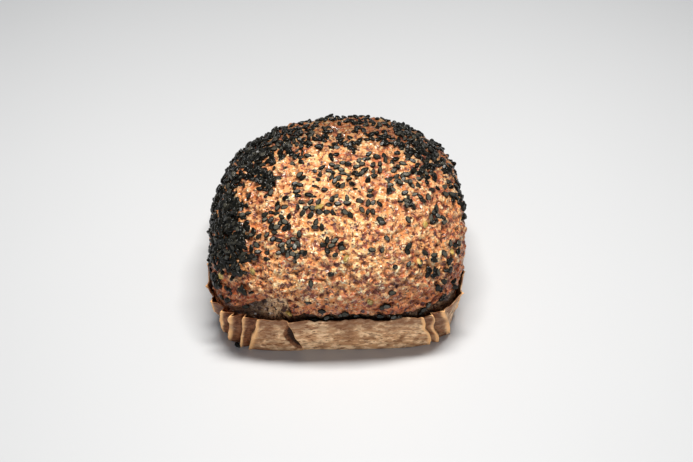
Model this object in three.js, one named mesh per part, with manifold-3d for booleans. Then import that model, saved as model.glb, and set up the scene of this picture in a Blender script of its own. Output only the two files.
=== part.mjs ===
// A dark wholegrain bread roll, square with round corners, strewn with black sesame.
// It sits in the pleated baking-paper case it was baked in.
// Millimetres, +Z up. The front faces -Y, and the case stands on z = 0.

import * as THREE from "three";
import { mergeVertices } from "three/addons/utils/BufferGeometryUtils.js";
import Module from "manifold-3d";

// Driving dimensions of the roll.
const rollWidth = 98.4;
const rollDepth = 95;
const rollHeight = 60.9;
const bellyHeight = 29.1;
const domeFullness = 2.09;
const shoulderFullness = 2.34;
const heelWidth = 91;
const heelRadius = 7;

// The plan is squarest inside the case, and nearly round at the crown.
const lowSquareness = 4.8;
const bellySquareness = 3.15;
const crownSquareness = 2;
const squareHeight = 17;
const squareFade = 1.35;

// The roll rose unevenly: its depth leans over, and its crown drifts to the right.
const skewPerDepth = 0.02;
const skewFullHeight = 20;
const crownDrift = { x: 2.8, y: -0.5 };

// Relief of the crust: soft lumps above the case.
const lumpHeight = 0.7;
const lumpLengths = [21, 13];
const lumpFlattening = 0.8;
const crustStart = 20;
const crustBlend = 5;

// Places where the roll is drawn in: width is across, height up, and depth into the roll.
const dents = [
  { name: "torn recess under the lip, front left", x: -28, y: -45, z: 25, width: 11, height: 4.5, depth: 2.4 },
  { name: "waist between two swellings, left", x: -46, y: 18, z: 35, width: 9, height: 8, depth: 2.4 },
  { name: "shoulder, back left", x: -31, y: 27, z: 50, width: 20, height: 12, depth: 1.8 },
];

// Driving dimensions of the paper case.
const caseHeight = 20.2;
const paperWall = 0.65;
const paperGap = 0.35;
const caseFootWidth = 92;
const caseRimWidth = 99.2;
const footSquareness = 5.3;
const rimSquareness = 4.5;
const rimWave = 0.8;

// The gathered pleats: the turn of each crest at the foot and at the rim, and its height.
// The lap of the front panel is one more crest, whose height fades over a long tail.
const pleats = [
  { foot: 24, rim: 27, height: 1.3 },
  { foot: 31, rim: 32.5, height: 1.6 },
  { foot: 38, rim: 38.5, height: 1.8 },
  { foot: 46, rim: 44.5, height: 1.5 },
  { foot: 52.5, rim: 51, height: 1.8 },
  { foot: 60, rim: 57, height: 1.3 },
  { foot: 117, rim: 120, height: 1.4 },
  { foot: 124, rim: 126, height: 1.7 },
  { foot: 131, rim: 131.5, height: 1.9 },
  { foot: 139, rim: 138, height: 1.5 },
  { foot: 146, rim: 144, height: 1.7 },
  { foot: 153, rim: 150.5, height: 1.2 },
  { foot: 195, rim: 199, height: 0.8 },
  { foot: 203.5, rim: 211, height: 1.3 },
  { foot: 210, rim: 217.5, height: 1.4 },
  { foot: 216, rim: 224, height: 1.6 },
  { foot: 222, rim: 229.5, height: 1.8 },
  { foot: 228.4, rim: 234.2, height: 1.3 },
  { foot: 232.8, rim: 240, height: 1.5 },
  { foot: 255.2, rim: 250.5, height: 0.8, tail: 24 },
  { foot: 308.4, rim: 303.3, height: 1.4 },
  { foot: 312.8, rim: 307.4, height: 1.7 },
  { foot: 321.6, rim: 313.4, height: 1.9 },
  { foot: 331, rim: 324.5, height: 1.5 },
  { foot: 338.5, rim: 333.8, height: 1.4 },
  { foot: 344.5, rim: 341.5, height: 1.2 },
];
const pleatHalf = 1.6;
const pleatReach = 9;
const valleyDepth = 0.3;
const panelStep = 5;

// Sesame seed, and how it lies.
const seed = { length: 3.2, width: 2, thickness: 1.15 };
const seedSunk = 0.12;
const seedSpacing = 2.75;
const seedLowest = 100;
const footSeed = { turn: 227, height: 1.7, clear: 0.15 };

// Colours seen in the photo.
const crustColour = 0xb57a4c;
const paperColour = 0x9c7250;

// Where the seeds lie: turn and lean in degrees, spread in millimetres, and how many fall there.
// Turn runs from the right side (0) over the back (90); lean runs from the crown (0) to the belly (90).
const seedFalls = [
  { name: "left flank, high", turn: 190, lean: 58, spread: 8, count: 18 },
  { name: "left flank, low", turn: 208, lean: 70, spread: 9, count: 20 },
  { name: "left shoulder", turn: 198, lean: 35, spread: 4, count: 6 },
  { name: "back left", turn: 150, lean: 42, spread: 9, count: 18 },
  { name: "back edge", turn: 95, lean: 40, spread: 14, count: 13 },
  { name: "crown, behind", turn: 90, lean: 14, spread: 9, count: 7 },
  { name: "crown, front", turn: 265, lean: 15, spread: 6, count: 9 },
  { name: "right shoulder", turn: 325, lean: 22, spread: 6, count: 7 },
  { name: "back right", turn: 25, lean: 40, spread: 10, count: 16 },
  { name: "right patch", turn: 316, lean: 38, spread: 3.5, count: 5 },
  { name: "right cheek", turn: 326, lean: 55, spread: 4, count: 4 },
  { name: "front scatter", turn: 265, lean: 32, spread: 9, count: 10 },
  { name: "left patch", turn: 233, lean: 45, spread: 4, count: 5 },
  { name: "front left patch", turn: 247, lean: 55, spread: 4, count: 8 },
  { name: "front patch", turn: 267, lean: 53, spread: 3.5, count: 4 },
  { name: "front right scatter", turn: 300, lean: 56, spread: 8, count: 5 },
  { name: "right corner, low", turn: 312, lean: 76, spread: 8, count: 6 },
  { name: "front, low", turn: 262, lean: 80, spread: 14, count: 4 },
  { name: "right flank", turn: 355, lean: 72, spread: 12, count: 12 },
  { name: "back face", turn: 90, lean: 78, spread: 20, count: 11 },
  { name: "left corner, low", turn: 228, lean: 90, spread: 5, count: 3 },
  { name: "lip, front", turn: 270, lean: 97, spread: 9, count: 5 },
  { name: "lip, right corner", turn: 311, lean: 97, spread: 5, count: 3 },
];

const quarter = Math.PI / 2;
const radians = THREE.MathUtils.degToRad;

// Even random numbers between 0 and 1, the same ones in every run.
const drawModulus = 2 ** 32;
const drawFactor = 1664525;
const drawStep = 1013904223;
let drawState = 20251125;
function draw() {
  drawState = (drawState * drawFactor + drawStep) % drawModulus;
  return drawState / drawModulus;
}

// A number near 0, with most draws within one spread of it.
function drawAround(spread) {
  return spread * (draw() + draw() + draw() + draw() - 2) * Math.sqrt(3);
}

// How far a rounded square of half-width 1 reaches at a turn. An exponent of 2 is a circle.
function squareReach(turn, exponent) {
  const across = Math.abs(Math.cos(turn)) ** exponent;
  const along = Math.abs(Math.sin(turn)) ** exponent;
  return (across + along) ** (-1 / exponent);
}

// The lean of the roll's plan: layers slide to the right towards the back.
function skewed(x, y, height) {
  const share = Math.min(1, height / skewFullHeight);
  return x + skewPerDepth * y * share;
}

// The roll's half-width and height at a lean from the crown (0) to the middle of its underside (180).
// The lower half has a drawn-in side, a round heel and a flat bottom.
const underside = paperWall + paperGap;
const heelStart = radians(40);
const heelEnd = radians(55);
function rollProfile(lean) {
  if (lean <= quarter) {
    const rise = Math.cos(lean) ** (2 / domeFullness);
    const reach = Math.sin(lean) ** (2 / shoulderFullness);
    return [(reach * rollWidth) / 2, bellyHeight + rise * (rollHeight - bellyHeight)];
  }
  const below = lean - quarter;
  const heelTop = underside + heelRadius;
  const heelReach = heelWidth / 2;
  if (below <= heelStart) {
    const height = THREE.MathUtils.lerp(bellyHeight, heelTop, below / heelStart);
    const swell = Math.sin((quarter * (height - heelTop)) / (bellyHeight - heelTop));
    return [THREE.MathUtils.lerp(heelReach, rollWidth / 2, swell), height];
  }
  if (below <= heelEnd) {
    const bend = (quarter * (below - heelStart)) / (heelEnd - heelStart);
    const reach = heelReach - heelRadius * (1 - Math.cos(bend));
    return [reach, heelTop - heelRadius * Math.sin(bend)];
  }
  const inward = (quarter - below) / (quarter - heelEnd);
  return [(heelReach - heelRadius) * inward, underside];
}

// How square the roll's plan is at a height.
function rollSquareness(height) {
  if (height > bellyHeight) {
    const down = (rollHeight - height) / (rollHeight - bellyHeight);
    return THREE.MathUtils.lerp(crownSquareness, bellySquareness, Math.max(0, down) ** squareFade);
  }
  const low = Math.min(1, (bellyHeight - height) / (bellyHeight - squareHeight));
  return THREE.MathUtils.lerp(bellySquareness, lowSquareness, low);
}

// A point of the smooth roll, before the crust's relief.
function smoothRollPoint(turn, lean) {
  const [reach, height] = rollProfile(lean);
  const arm = reach * squareReach(turn, rollSquareness(height));
  const drift = Math.max(0, (height - skewFullHeight) / (rollHeight - skewFullHeight));
  const y = (arm * Math.sin(turn) * rollDepth) / rollWidth;
  const x = skewed(arm * Math.cos(turn), y, height);
  return new THREE.Vector3(x + crownDrift.x * drift, y + crownDrift.y * drift, height);
}

// Which way the smooth roll faces at a turn and lean.
const facingStep = radians(0.5);
function rollFacing(turn, lean) {
  const here = THREE.MathUtils.clamp(lean, facingStep * 2, Math.PI - facingStep * 2);
  const round = smoothRollPoint(turn + facingStep, here);
  round.sub(smoothRollPoint(turn - facingStep, here));
  const down = smoothRollPoint(turn, here + facingStep);
  down.sub(smoothRollPoint(turn, here - facingStep));
  return down.cross(round).normalize();
}

// Height of the crust's relief at a point: lumps above the case, less the dents.
function crustRelief(point) {
  const cover = THREE.MathUtils.smoothstep(point.z, crustStart, crustStart + crustBlend);
  let relief = 0;
  for (const length of lumpLengths) {
    const wave = (2 * Math.PI) / length;
    const along = Math.sin(wave * point.x + length) * Math.sin(wave * point.y - length);
    const lump = along * Math.cos(wave * point.z * lumpFlattening);
    relief += (cover * lumpHeight * lump) / lumpLengths.length;
  }
  for (const dent of dents) {
    const across = Math.hypot(point.x - dent.x, point.y - dent.y) / dent.width;
    const up = (point.z - dent.z) / dent.height;
    relief -= dent.depth * Math.exp(-(across ** 2) - up ** 2);
  }
  return relief;
}

function rollPoint(turn, lean) {
  const point = smoothRollPoint(turn, lean);
  return point.addScaledVector(rollFacing(turn, lean), crustRelief(point));
}

// A closed body whose triangles share their corners, with collapsed triangles left out.
const sameCorner = 0.005;
function weld(geometry) {
  const bare = new THREE.BufferGeometry();
  bare.setAttribute("position", geometry.getAttribute("position"));
  if (geometry.index) bare.setIndex(geometry.index);
  const merged = mergeVertices(bare, sameCorner);
  const corners = merged.index.array;
  const kept = [];
  for (let i = 0; i < corners.length; i += 3) {
    const [a, b, c] = [corners[i], corners[i + 1], corners[i + 2]];
    if (a !== b && b !== c && c !== a) kept.push(a, b, c);
  }
  merged.setIndex(kept);
  return merged;
}

const wasm = await Module();
wasm.setup();

function toSolid(body) {
  const vertProperties = new Float32Array(body.getAttribute("position").array);
  const triVerts = new Uint32Array(body.index.array);
  return new wasm.Manifold(new wasm.Mesh({ numProp: 3, vertProperties, triVerts }));
}

// Fuses pieces onto a body and keeps the largest result, without scraps that touch nothing.
function fuse(body, pieces) {
  let whole = toSolid(body);
  for (const piece of pieces) whole = whole.add(toSolid(piece));
  const bySize = whole.decompose().sort((one, other) => other.volume() - one.volume());
  const mesh = bySize[0].getMesh();
  const geometry = new THREE.BufferGeometry();
  const places = new Float32Array(mesh.vertProperties);
  geometry.setAttribute("position", new THREE.BufferAttribute(places, mesh.numProp));
  geometry.setIndex(Array.from(mesh.triVerts));
  return geometry;
}

// A seed: a flat drop, pointed at one end. Its poles are its two ends.
const seedSides = 4;
const seedRings = 4;
const seedTaper = 0.28;
function makeDrop() {
  const drop = weld(new THREE.SphereGeometry(0.5, seedSides, seedRings));
  drop.rotateZ(quarter);
  const corners = drop.getAttribute("position");
  for (let i = 0; i < corners.count; i += 1) {
    const taper = 1 - seedTaper * 2 * corners.getX(i);
    corners.setXYZ(i, corners.getX(i), corners.getY(i) * taper, corners.getZ(i) * taper);
  }
  return drop.scale(seed.length, seed.width, seed.thickness);
}

// A seed lying on a surface that faces the given way.
const oneDrop = makeDrop();
function makeSeed(place, facing, heading) {
  const drop = oneDrop.clone();
  drop.rotateZ(heading);
  const upright = new THREE.Vector3(0, 0, 1);
  drop.applyQuaternion(new THREE.Quaternion().setFromUnitVectors(upright, facing));
  const middle = place.clone().addScaledVector(facing, -seedSunk);
  drop.translate(middle.x, middle.y, middle.z);
  return drop;
}

// The seeds of the crust, each one clear of those before it and above the case.
const triesPerSeed = 12;
function makeCrustSeeds() {
  const seeds = [];
  const places = [];
  const arm = rollWidth / 2;
  for (const fall of seedFalls) {
    let left = fall.count;
    for (let tries = fall.count * triesPerSeed; tries > 0 && left > 0; tries -= 1) {
      const lean = Math.abs(radians(fall.lean) + drawAround(fall.spread) / arm);
      const belt = arm * Math.max(0.2, Math.sin(radians(fall.lean)));
      const turn = radians(fall.turn) + drawAround(fall.spread) / belt;
      const heading = 2 * Math.PI * draw();
      const place = rollPoint(turn, lean);
      const crowded = places.some((other) => other.distanceTo(place) < seedSpacing);
      if (crowded || lean > radians(seedLowest)) continue;
      places.push(place);
      seeds.push(makeSeed(place, rollFacing(turn, lean), heading));
      left -= 1;
    }
  }
  return seeds;
}

const rollDetail = 9;
function makeRoll() {
  const ball = weld(new THREE.IcosahedronGeometry(1, rollDetail));
  const corners = ball.getAttribute("position");
  for (let i = 0; i < corners.count; i += 1) {
    const way = new THREE.Vector3().fromBufferAttribute(corners, i).normalize();
    const point = rollPoint(Math.atan2(way.y, way.x), Math.acos(Math.min(1, way.z)));
    corners.setXYZ(i, point.x, point.y, point.z);
  }
  return fuse(ball, makeCrustSeeds());
}

// The upright columns of the paper wall: one on each crest and plain ones between.
// A column leans from its turn at the foot to its turn at the rim. Crest is its height.
function wallColumns() {
  const columns = [];
  for (const [index, pleat] of pleats.entries()) {
    const next = pleats[(index + 1) % pleats.length];
    const footGap = (next.foot - pleat.foot + 360) % 360;
    const rimGap = (next.rim - pleat.rim + 360) % 360;
    const valley = rimGap < pleatReach ? -valleyDepth : 0;
    columns.push({ foot: pleat.foot, rim: pleat.rim, crest: pleat.height });
    const plain = Math.max(1, Math.round((rimGap - 2 * pleatHalf) / panelStep));
    for (let step = 0; step <= plain; step += 1) {
      const away = pleatHalf + (step / plain) * (rimGap - 2 * pleatHalf);
      const share = away / rimGap;
      const tail = pleat.tail ? pleat.height * Math.max(0, 1 - away / pleat.tail) : 0;
      const foot = pleat.foot + share * footGap;
      columns.push({ foot, rim: pleat.rim + away, crest: valley + tail });
    }
  }
  return columns;
}

// A point of the paper wall's plan, on a column and at a share of its height.
const footPleatShare = 0.6;
function casePoint(column, up, inset) {
  const turn = radians(THREE.MathUtils.lerp(column.foot, column.rim, up));
  const squareness = THREE.MathUtils.lerp(footSquareness, rimSquareness, up);
  const half = THREE.MathUtils.lerp(caseFootWidth, caseRimWidth, up) / 2;
  const crest = column.crest * THREE.MathUtils.lerp(footPleatShare, 1, up);
  const arm = half * squareReach(turn, squareness) + crest - inset;
  return [arm * Math.cos(turn), (arm * Math.sin(turn) * rollDepth) / rollWidth];
}

// The rim rises and dips a little, and stands up at each crest.
const crestRise = 0.4;
function rimHeight(column) {
  const wave = Math.sin(radians(column.rim) * 3 + 1);
  return caseHeight + (rimWave * wave) / 2 + crestRise * column.crest;
}

// The case is turned from the section of its wall, then pushed out to the square plan.
function makeCase() {
  const section = [
    [0, 0, 0],
    [0.985, 0, 0],
    [1, 0, 0.08],
    [1, 0, 0.36],
    [1, 0, 0.68],
    [1, 0, 1],
    [1, 1, 1],
    [1, 1, 0.68],
    [1, 1, 0.36],
    [1, 1, 0.02],
    [0, 1, 0],
  ];
  const columns = wallColumns();
  const outline = section.map(([reach, inside, up]) => new THREE.Vector2(reach, inside + up / 2));
  const turned = new THREE.LatheGeometry(outline, columns.length);
  const corners = turned.getAttribute("position");
  const rows = section.length;
  for (let i = 0; i < corners.count; i += 1) {
    const [reach, inside, up] = section[i % rows];
    const column = columns[Math.floor(i / rows) % columns.length];
    const [x, y] = casePoint(column, up, inside * paperWall);
    const floorUp = inside * paperWall;
    const flat = reach < 1 || up === 0;
    const height = flat ? floorUp : Math.max(floorUp, up * rimHeight(column));
    corners.setXYZ(i, skewed(x * reach, y * reach, height), y * reach, height);
  }
  return fuse(weld(turned), [makeFootSeed()]);
}

// One seed has dropped off and sticks to the foot of the case, at its front left corner.
function makeFootSeed() {
  const turn = radians(footSeed.turn);
  const column = { foot: footSeed.turn, rim: footSeed.turn, crest: 0 };
  const [x, y] = casePoint(column, footSeed.height / caseHeight, 0);
  const facing = new THREE.Vector3(Math.cos(turn), Math.sin(turn), 0);
  const drop = makeSeed(new THREE.Vector3(x, y, footSeed.height), facing, quarter / 3);
  drop.computeBoundingBox();
  return drop.translate(0, 0, footSeed.clear - drop.boundingBox.min.z);
}

function makePiece(name, geometry, colour, roughness) {
  const material = new THREE.MeshStandardMaterial({ color: colour, roughness, metalness: 0 });
  const piece = new THREE.Mesh(geometry, material);
  piece.name = name;
  return piece;
}

const group = new THREE.Group();
group.add(makePiece("bread_roll", makeRoll(), crustColour, 0.55));
group.add(makePiece("paper_case", makeCase(), paperColour, 0.5));

// The middle of the underside of the whole becomes the origin.
const bounds = new THREE.Box3().setFromObject(group, true);
const middle = bounds.getCenter(new THREE.Vector3());
group.position.set(-middle.x, -middle.y, -bounds.min.z);
group.updateMatrixWorld(true);

export default group;
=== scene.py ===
# %% [markdown]
# # A square roll with black sesame, in its paper case
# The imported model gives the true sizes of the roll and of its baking-paper case. This lesson dresses
# it: a rough, moist crust, well over a thousand black seeds, a few bits of grain, and greasy paper
# gathered into pleats at its corners. Everything is in metres, and the front of the roll faces -Y.

import math
import random

import bmesh
import bpy
from mathutils import Matrix, Vector, noise
from mathutils.bvhtree import BVHTree


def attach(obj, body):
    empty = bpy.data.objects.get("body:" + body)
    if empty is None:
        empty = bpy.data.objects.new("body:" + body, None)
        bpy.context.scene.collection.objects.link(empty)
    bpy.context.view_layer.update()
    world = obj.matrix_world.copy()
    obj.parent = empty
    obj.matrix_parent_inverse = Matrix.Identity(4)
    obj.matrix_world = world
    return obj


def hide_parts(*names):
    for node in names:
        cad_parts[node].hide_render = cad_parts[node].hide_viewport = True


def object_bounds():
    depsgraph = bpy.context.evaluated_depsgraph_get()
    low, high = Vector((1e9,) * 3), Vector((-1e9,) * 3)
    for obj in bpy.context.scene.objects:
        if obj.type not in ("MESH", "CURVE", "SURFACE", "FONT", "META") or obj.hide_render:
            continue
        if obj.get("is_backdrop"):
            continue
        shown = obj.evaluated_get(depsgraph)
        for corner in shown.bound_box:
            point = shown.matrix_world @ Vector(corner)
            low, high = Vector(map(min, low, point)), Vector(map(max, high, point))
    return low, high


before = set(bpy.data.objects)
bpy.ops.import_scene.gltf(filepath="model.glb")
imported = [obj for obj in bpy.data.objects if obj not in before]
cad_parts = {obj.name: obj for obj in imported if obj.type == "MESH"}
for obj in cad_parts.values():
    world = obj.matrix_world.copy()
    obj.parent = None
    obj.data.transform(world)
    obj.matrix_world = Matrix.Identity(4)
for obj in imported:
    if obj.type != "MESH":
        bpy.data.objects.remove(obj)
cad_low, cad_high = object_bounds()
mm = 0.001
print("packed model, mm:", [round(side / mm, 1) for side in cad_high - cad_low])

# %% [markdown]
# ## The camera
# The roll is seen from in front and from 42 degrees up, through a normal lens. The photograph is a
# little off centre, so the camera is shifted by the few pixels that put the roll where it belongs.
# The camera comes first because the seeds are laid where the photograph shows them: a line of
# sight through a pixel is followed until it meets the crust.

# %% Camera at the photograph's angle
photo_width, photo_height = 693, 462
sensor_width = 36
lens_length = 50
view_up = math.radians(42)
view_turn = math.radians(-1.65)
view_distance = 384.8 * mm
roll_middle = Vector((-0.07, 0.16, 0)) * mm
aim_point = roll_middle + Vector((0, 0, 25 * mm))
aim_pixel = (335.6, 223.7)

back_way = Vector((math.sin(view_turn) * math.cos(view_up),
                   -math.cos(view_turn) * math.cos(view_up), math.sin(view_up)))
camera_data = bpy.data.cameras.new("camera")
camera_data.lens = lens_length
camera_data.sensor_width = sensor_width
camera_data.shift_x = (photo_width / 2 - aim_pixel[0]) / photo_width
camera_data.shift_y = (aim_pixel[1] - photo_height / 2) / photo_width
camera_data.clip_start = 10 * mm
camera = bpy.data.objects.new("camera", camera_data)
bpy.context.scene.collection.objects.link(camera)
camera.location = aim_point + back_way * view_distance
camera.rotation_mode = "QUATERNION"
camera.rotation_quaternion = (-back_way).to_track_quat("-Z", "Y")
bpy.context.scene.camera = camera
print("camera at, mm:", [round(value / mm) for value in camera.location])


def sight_through(x, y):
    """Where the camera's line of sight through a pixel of the photograph starts, and its way."""
    pixels_per_unit = photo_width * lens_length / sensor_width
    right = Vector((math.cos(view_turn), math.sin(view_turn), 0))
    up = back_way.cross(right)
    across = (x - aim_pixel[0]) / pixels_per_unit
    rise = (aim_pixel[1] - y) / pixels_per_unit
    return camera.location.copy(), (right * across + up * rise - back_way).normalized()


# %% [markdown]
# ## The form of the roll
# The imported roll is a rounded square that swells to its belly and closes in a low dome. The same
# few sizes give the same form here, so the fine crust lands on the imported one. A place on the roll
# is named by its turn round the plan (0 at the right, 90 at the back) and by its lean away from the
# crown (0 at the top, 90 at the belly).

# %% Sizes of the roll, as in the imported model
roll_width, roll_depth, roll_height = 98.4 * mm, 95 * mm, 60.9 * mm
belly_height = 29.1 * mm
dome_fullness, shoulder_fullness = 2.09, 2.34
heel_width, heel_radius = 91 * mm, 7 * mm
foot_squareness_of_roll, belly_squareness, crown_squareness = 4.8, 3.15, 2
square_height, square_fade = 17 * mm, 1.35
underside = 1 * mm
skew_per_depth, skew_full_height = 0.02, 20 * mm
crown_drift = Vector((2.8, -0.5, 0)) * mm
heel_start, heel_end = math.radians(40), math.radians(55)
quarter = math.pi / 2


def mix(low, high, share):
    return low + (high - low) * share


def ease(value, start, end):
    """0 before start, 1 after end, and smooth between them."""
    share = min(1, max(0, (value - start) / (end - start)))
    return share * share * (3 - 2 * share)


def square_reach(turn, squareness):
    across = abs(math.cos(turn)) ** squareness
    along = abs(math.sin(turn)) ** squareness
    return (across + along) ** (-1 / squareness)


def skewed(x, y, height):
    return x + skew_per_depth * y * min(1, height / skew_full_height)


def roll_profile(lean):
    """Half-width and height at a lean from the crown (0) to the middle of the underside (180)."""
    if lean <= quarter:
        rise = max(0, math.cos(lean)) ** (2 / dome_fullness)
        reach = math.sin(lean) ** (2 / shoulder_fullness)
        return reach * roll_width / 2, mix(belly_height, roll_height, rise)
    below = lean - quarter
    heel_top = underside + heel_radius
    heel_reach = heel_width / 2
    if below <= heel_start:
        height = mix(belly_height, heel_top, below / heel_start)
        swell = math.sin(quarter * (height - heel_top) / (belly_height - heel_top))
        return mix(heel_reach, roll_width / 2, swell), height
    if below <= heel_end:
        bend = quarter * (below - heel_start) / (heel_end - heel_start)
        reach = heel_reach - heel_radius * (1 - math.cos(bend))
        return reach, heel_top - heel_radius * math.sin(bend)
    inward = (quarter - below) / (quarter - heel_end)
    return (heel_reach - heel_radius) * inward, underside


def smooth_roll_point(turn, lean):
    reach, height = roll_profile(lean)
    if height > belly_height:
        down = (roll_height - height) / (roll_height - belly_height)
        squareness = mix(crown_squareness, belly_squareness, max(0, down) ** square_fade)
    else:
        low = min(1, (belly_height - height) / (belly_height - square_height))
        squareness = mix(belly_squareness, foot_squareness_of_roll, low)
    arm = reach * square_reach(turn, squareness)
    drift = max(0, (height - skew_full_height) / (roll_height - skew_full_height))
    y = arm * math.sin(turn) * roll_depth / roll_width
    x = skewed(arm * math.cos(turn), y, height)
    return Vector((x, y, height)) + crown_drift * drift


def roll_facing(turn, lean):
    """Which way the smooth roll faces there."""
    step = math.radians(0.5)
    here = min(math.pi - 2 * step, max(2 * step, lean))
    round_way = smooth_roll_point(turn + step, here) - smooth_roll_point(turn - step, here)
    down_way = smooth_roll_point(turn, here + step) - smooth_roll_point(turn, here - step)
    return down_way.cross(round_way).normalized()


print("belly at, mm:", [round(value / mm, 1) for value in smooth_roll_point(0, quarter)])

# %% [markdown]
# ## Relief of the crust
# A wholegrain crust is never smooth. Broad lumps come from the rise of the dough, and on them lie
# knobs of a few millimetres, creases where the skin tore as it dried, grains under the skin, and
# small pits where bubbles burst. Each is a noise of its own size, and their sum is modelled as real
# geometry, so the outline and the glints are rough too. Above the paper the dough hangs over in a
# lip. The ledge under it is shallow at the back and about 1 mm deep in front. At the front left the
# lip has torn free and leaves a dark recess, 2 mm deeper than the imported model's own dent there.

# %% Heights of the relief
lump_height, lump_lengths, lump_flattening = 0.7 * mm, (21, 13), 0.8
crust_start, crust_blend = 20 * mm, 5 * mm
# Each dent: its middle, its width across, its height and its depth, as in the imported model.
dents = [
    (Vector((-28, -45, 25)) * mm, 11 * mm, 4.5 * mm, 2.4 * mm),
    (Vector((-46, 18, 35)) * mm, 9 * mm, 8 * mm, 2.4 * mm),
    (Vector((-31, 27, 50)) * mm, 20 * mm, 12 * mm, 1.8 * mm),
]
knob_height, knob_size = 0.8 * mm, 6 * mm
crease_depth, crease_size = 0.5 * mm, 4.2 * mm
grain_height, grain_size = 0.9 * mm, 2.2 * mm
fine_height, fine_size = 0.6 * mm, 1.2 * mm
pit_depth, pit_size = 0.55 * mm, 4.2 * mm
layer_height, layer_length, layer_step = 0.7 * mm, 12 * mm, 2.4 * mm
layer_top, layer_fade = 34 * mm, 10 * mm
crease_edge, pit_middle, pit_edge = 0.2, 0.08, 0.34
# The relief starts just inside the case.
relief_start, relief_full = 15 * mm, 20 * mm
lip_wave, lip_wave_size = 1.1 * mm, 4 * mm
lip_below, lip_above = 0.9 * mm, 0.5 * mm
# The lip's lower edge round the roll: turn, height in mm, and depth of the ledge in mm.
lip_line = [
    (0, 21.5, 0.3), (90, 21.5, 0.3), (180, 21, 0.3), (208, 21, 0.2), (222, 22.6, 0.3), (232, 24, 0.5),
    (238.5, 27, 1), (243, 30.6, 1.6), (248.8, 29.4, 2), (251.4, 22.8, 1), (262, 22.2, 1), (273, 22.8, 0.9),
    (285, 21.6, 0.9), (296, 21.4, 1), (303, 22.6, 1.1), (312, 23.6, 1.1), (320, 23, 0.7),
    (331, 22, 0.5), (345, 21.5, 0.3), (360, 21.5, 0.3),
]


def broad_relief(point):
    """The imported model's own relief: lumps above the case, less the dents."""
    cover = ease(point.z, crust_start, crust_start + crust_blend)
    x, y, z = point / mm
    relief = 0
    for length in lump_lengths:
        wave = 2 * math.pi / length
        lump = math.sin(wave * x + length) * math.sin(wave * y - length)
        relief += cover * lump_height * lump * math.cos(wave * z * lump_flattening) / len(lump_lengths)
    for middle, width, height, depth in dents:
        across = (point.xy - middle.xy).length / width
        up = (point.z - middle.z) / height
        relief -= depth * math.exp(-across ** 2 - up ** 2)
    return relief


def under_lip(turn, point):
    """How far the side is drawn in below the lip: a ledge with a wavy edge."""
    degrees = math.degrees(turn) % 360
    for (low_turn, low_height, low_depth), (high_turn, height, depth) in zip(lip_line, lip_line[1:]):
        if degrees <= high_turn:
            share = (degrees - low_turn) / (high_turn - low_turn)
            edge = mix(low_height, height, share) * mm
            edge += lip_wave * noise.noise(Vector((point.x, point.y, 0)) / lip_wave_size)
            above = ease(point.z, edge - lip_below, edge + lip_above)
            return mix(low_depth, depth, share) * mm * (1 - above)
    return 0


def fine_relief(point):
    """The whole of the relief where the paper doesn't hide the side, and its small forms alone."""
    cover = ease(point.z, relief_start, relief_full)
    if cover == 0:
        return 0, 0
    small = grain_height * noise.noise(point / grain_size)
    small += fine_height * noise.noise(point / fine_size)
    small -= crease_depth * (1 - ease(abs(noise.noise(point / crease_size)), 0, crease_edge))
    nearest = noise.voronoi(point / pit_size)[0][0]
    small -= pit_depth * (1 - ease(nearest, pit_middle, pit_edge))
    low = 1 - ease(point.z, layer_top - layer_fade, layer_top)
    slanted = Vector((point.x / layer_length, point.y / layer_length, point.z / layer_step))
    broad = knob_height * noise.noise(point / knob_size) + layer_height * low * noise.noise(slanted)
    return (small + broad) * cover, small * cover


# %% [markdown]
# ## The crust
# The crust starts as an icosphere, because its triangles are even all over, unlike those of a globe
# with poles. Every corner is then read as a direction and put where the roll has that turn and
# lean. Most of the corners go to what shows, and few to the part inside the case.

# %% Make the crust
shown_polar = math.radians(134)
shown_lean = math.radians(103)
# Inside the case the dough gives way to the folds of the paper.
hidden_give = 1.2 * mm
give_full, give_end = 14 * mm, 18 * mm


def lean_of_polar(polar):
    """Gives most of the sphere to what shows above the paper."""
    if polar <= shown_polar:
        return polar / shown_polar * shown_lean
    rest = (polar - shown_polar) / (math.pi - shown_polar)
    return mix(shown_lean, math.pi, rest)


def crust_point(turn, lean):
    """A point of the crust, how high its small forms stand there in mm, and its depth under the lip."""
    smooth = smooth_roll_point(turn, lean)
    facing = roll_facing(turn, lean)
    broad = smooth + facing * broad_relief(smooth)
    fine, small = fine_relief(broad)
    under = under_lip(turn, broad) * ease(broad.z, relief_start, relief_full)
    give = hidden_give * (1 - ease(broad.z, give_full, give_end))
    return roll_middle + broad + facing * (fine - under - give), small / mm, under / mm


def finished_object(name, bm, smooth=True):
    """A new object at the origin that holds the modelled mesh. The bmesh is used up."""
    mesh = bpy.data.meshes.new(name)
    bm.to_mesh(mesh)
    bm.free()
    if smooth:
        mesh.polygons.foreach_set("use_smooth", [True] * len(mesh.polygons))
    piece = bpy.data.objects.new(name, mesh)
    bpy.context.scene.collection.objects.link(piece)
    print(name, "triangles:", sum(len(face.vertices) - 2 for face in mesh.polygons))
    return piece


bm = bmesh.new()
bmesh.ops.create_icosphere(bm, subdivisions=6, radius=1)
bmesh.ops.subdivide_edges(bm, edges=bm.edges[:], cuts=2, use_grid_fill=True)
relief_layer = bm.verts.layers.float.new("relief")
under_layer = bm.verts.layers.float.new("under")
for corner in bm.verts:
    way = corner.co.normalized()
    polar = math.acos(max(-1, min(1, way.z)))
    turn = math.atan2(way.y, way.x)
    corner.co, corner[relief_layer], corner[under_layer] = crust_point(turn, lean_of_polar(polar))
bmesh.ops.recalc_face_normals(bm, faces=bm.faces)
crust_tree = BVHTree.FromBMesh(bm)
crust = finished_object("crust", bm)
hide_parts("bread_roll")
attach(crust, "root")

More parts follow.
